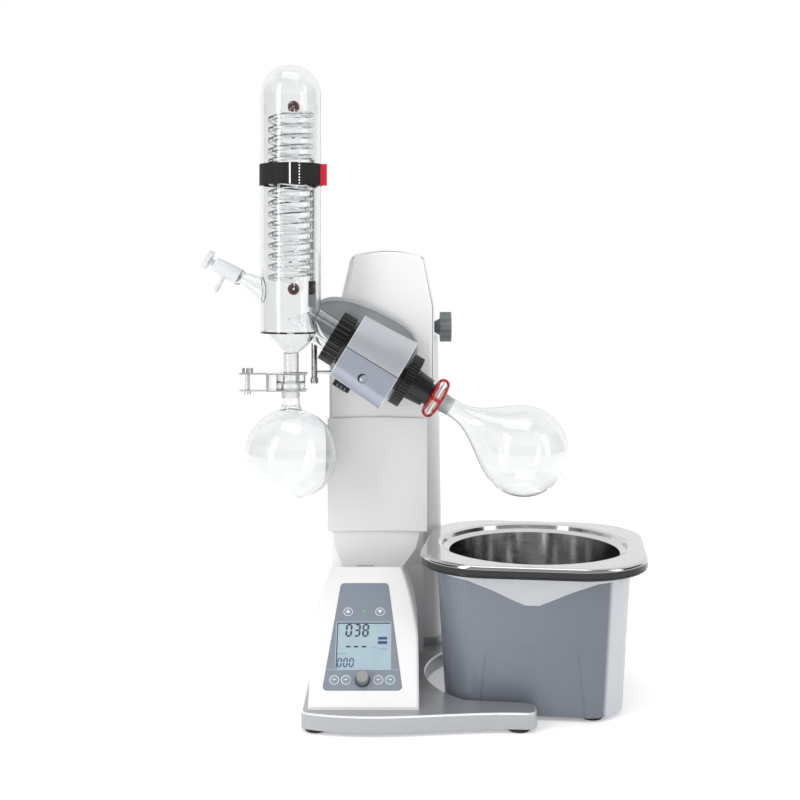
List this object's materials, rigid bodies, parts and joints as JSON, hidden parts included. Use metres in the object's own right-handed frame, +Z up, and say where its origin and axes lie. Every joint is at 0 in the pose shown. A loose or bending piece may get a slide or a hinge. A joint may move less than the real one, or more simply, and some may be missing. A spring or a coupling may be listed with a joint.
{
  "type": "rotary evaporator",
  "caption": "Bench rotary evaporator: tilted drive head with glass condenser, receiving flask and rotating flask on a powered lift above a heating bath.",
  "frame": {"origin": "bottom centre of the bounding box, on the bench plane under the rubber feet", "axes": "+Z up, +X to the right towards the heating bath as the operator faces the panel, +Y to the back"},
  "size_m": [0.6388, 0.415, 0.8936],
  "materials": {
    "cast_paint": "silver grey hammered paint",
    "rubber_feet": "matt black rubber",
    "white_plastic": "white moulded plastic",
    "band_plastic": "light grey moulded plastic",
    "panel_film": "blue grey printed film",
    "screen": "pale blue display behind a clear window",
    "board": "green laminate",
    "column_paint": "silver grey paint",
    "black_plastic": "black moulded plastic",
    "steel": "ground steel",
    "alloy": "machined alloy",
    "bronze": "sintered bronze",
    "head_paint": "silver blue metallic paint",
    "knob_plastic": "dark grey moulded plastic",
    "clear_glass": "clear blown glass",
    "white_seal": "white low-friction plastic",
    "red_plastic": "red moulded plastic",
    "strap_web": "black webbing",
    "chrome": "bright plated steel",
    "button_plastic": "pale grey key caps",
    "bath_paint": "slate grey paint",
    "bath_silver": "silver grey paint",
    "pan_steel": "bright drawn stainless steel"
  },
  "bodies": {
    "stand": {"base_casting": "cast_paint", "base_feet": "rubber_feet", "control_housing": "white_plastic", "control_fascia": "panel_film", "display_window": "screen", "control_board": "board", "column_tube": "white_plastic", "rear_column": "white_plastic", "rear_cover": "white_plastic", "power_inlet": "black_plastic", "guide_rods": "steel", "lift_motor": "alloy"},
    "band": {"sliding_band": "band_plastic"},
    "carriage": {"lift_carriage": "alloy", "carriage_bushes": "bronze", "lift_hood": "white_plastic"},
    "screw": {"lift_screw": "steel"},
    "head": {"pivot_shaft": "steel", "head_bracket": "column_paint", "head_upper_cover": "head_paint", "head_lower_cover": "head_paint", "spindle_bearings": "steel", "drive_motor": "alloy", "head_collar": "black_plastic", "shaft_seal": "white_seal", "condenser_jacket": "clear_glass", "cooling_coil": "clear_glass", "hose_connectors": "red_plastic", "condenser_strap": "strap_web", "support_post": "chrome", "filling_valve": "white_seal", "receiving_flask": "clear_glass", "fork_clamp": "chrome"},
    "coupling_nut": {"ring_nut": "black_plastic"},
    "rotor": {"spindle": "black_plastic", "spindle_gear": "white_seal", "vapour_tube": "clear_glass", "joint_clip": "red_plastic", "evaporating_flask": "clear_glass"},
    "pinion": {"motor_pinion": "steel"},
    "wheel": {"release_wheel": "black_plastic"},
    "spindle_lock": {"spindle_lock_button": "black_plastic"},
    "valve": {"valve_key": "white_seal"},
    "fork_screw": {"clamp_screw": "chrome"},
    "tilt_lock": {"tilt_lock_knob": "knob_plastic"},
    "dial": {"encoder_dial": "button_plastic"},
    "raise_key": {"raise_button": "button_plastic"},
    "lower_key": {"lower_button": "button_plastic"},
    "rotation_key": {"rotation_button": "button_plastic"},
    "heating_key": {"heating_button": "button_plastic"},
    "timer_key": {"timer_button": "button_plastic"},
    "set_key": {"set_button": "button_plastic"},
    "mains_switch": {"mains_rocker": "black_plastic"},
    "bath": {"bath_front_shell": "bath_paint", "bath_rear_shell": "bath_silver", "bath_apron": "bath_silver", "bath_pan": "pan_steel", "bath_heater": "steel", "bath_feet": "rubber_feet"}
  },
  "joints": [
    {"name": "lift", "type": "slide", "parent": "stand", "child": "carriage", "axis": [0, 0, 1], "range_m": [-0.12, 0]},
    {"name": "band_slide", "type": "slide", "parent": "stand", "child": "band", "axis": [0, 0, 1], "range_m": [-0.051, 0]},
    {"name": "lift_screw_turn", "type": "hinge", "parent": "stand", "child": "screw", "pos_m": [-0.04473, 0.07153, 0.2], "axis": [0, 0, 1], "range_deg": [-4321, 0]},
    {"name": "head_tilt", "type": "hinge", "parent": "carriage", "child": "head", "pos_m": [-0.06873, 0.06153, 0.469], "axis": [0, 1, 0], "range_deg": [0, 10]},
    {"name": "spindle_turn", "type": "hinge", "parent": "head", "child": "rotor", "pos_m": [-0.06873, -0.02847, 0.469], "axis": [0.8554, 0, -0.518], "continuous": true},
    {"name": "pinion_turn", "type": "hinge", "parent": "head", "child": "pinion", "pos_m": [-0.11465, -0.02847, 0.45881], "axis": [0.8554, 0, -0.518], "continuous": true},
    {"name": "release_wheel_turn", "type": "hinge", "parent": "rotor", "child": "wheel", "pos_m": [-0.03238, -0.02847, 0.44698], "axis": [0.8554, 0, -0.518], "range_deg": [0, 180]},
    {"name": "ring_nut_turn", "type": "hinge", "parent": "head", "child": "coupling_nut", "pos_m": [-0.13289, -0.02847, 0.50785], "axis": [0.8554, 0, -0.518], "range_deg": [0, 360]},
    {"name": "spindle_lock_press", "type": "slide", "parent": "head", "child": "spindle_lock", "axis": [0.518, 0, 0.8554], "range_m": [0, 0.004], "stiffness_N_per_m": 350},
    {"name": "valve_key_turn", "type": "hinge", "parent": "head", "child": "valve", "pos_m": [-0.29938, -0.02847, 0.60989], "axis": [-0.8729, 0, 0.4879], "range_deg": [-90, 90]},
    {"name": "clamp_screw_turn", "type": "hinge", "parent": "head", "child": "fork_screw", "pos_m": [-0.25273, -0.02847, 0.452], "axis": [0, 0, 1], "range_deg": [0, 360]},
    {"name": "tilt_lock_turn", "type": "hinge", "parent": "carriage", "child": "tilt_lock", "pos_m": [0.02527, 0.07953, 0.515], "axis": [1, 0, 0], "range_deg": [0, 270]},
    {"name": "dial_turn", "type": "hinge", "parent": "stand", "child": "dial", "pos_m": [-0.08473, -0.15596, 0.05751], "axis": [0, -0.7071, 0.7071], "continuous": true},
    {"name": "raise_press", "type": "slide", "parent": "stand", "child": "raise_key", "axis": [0, 0.7071, -0.7071], "range_m": [0, 0.0008], "stiffness_N_per_m": 400},
    {"name": "lower_press", "type": "slide", "parent": "stand", "child": "lower_key", "axis": [0, 0.7071, -0.7071], "range_m": [0, 0.0008], "stiffness_N_per_m": 400},
    {"name": "rotation_press", "type": "slide", "parent": "stand", "child": "rotation_key", "axis": [0, 0.7071, -0.7071], "range_m": [0, 0.0008], "stiffness_N_per_m": 400},
    {"name": "heating_press", "type": "slide", "parent": "stand", "child": "heating_key", "axis": [0, 0.7071, -0.7071], "range_m": [0, 0.0008], "stiffness_N_per_m": 400},
    {"name": "timer_press", "type": "slide", "parent": "stand", "child": "timer_key", "axis": [0, 0.7071, -0.7071], "range_m": [0, 0.0008], "stiffness_N_per_m": 400},
    {"name": "set_press", "type": "slide", "parent": "stand", "child": "set_key", "axis": [0, 0.7071, -0.7071], "range_m": [0, 0.0008], "stiffness_N_per_m": 400},
    {"name": "mains_switch_rock", "type": "hinge", "parent": "stand", "child": "mains_switch", "pos_m": [-0.07873, 0.19053, 0.074], "axis": [0, 0, 1], "range_deg": [0, 12]},
    {"name": "bath_slide", "type": "slide", "parent": "stand", "child": "bath", "axis": [1, 0, 0], "range_m": [0, 0.015]}
  ],
  "couplings": [
    {"joint": "band_slide", "follows": "lift", "ratio": 0.42},
    {"joint": "lift_screw_turn", "follows": "lift", "rad_per_m": 628.32},
    {"joint": "pinion_turn", "follows": "spindle_turn", "ratio": -3.3333}
  ]
}
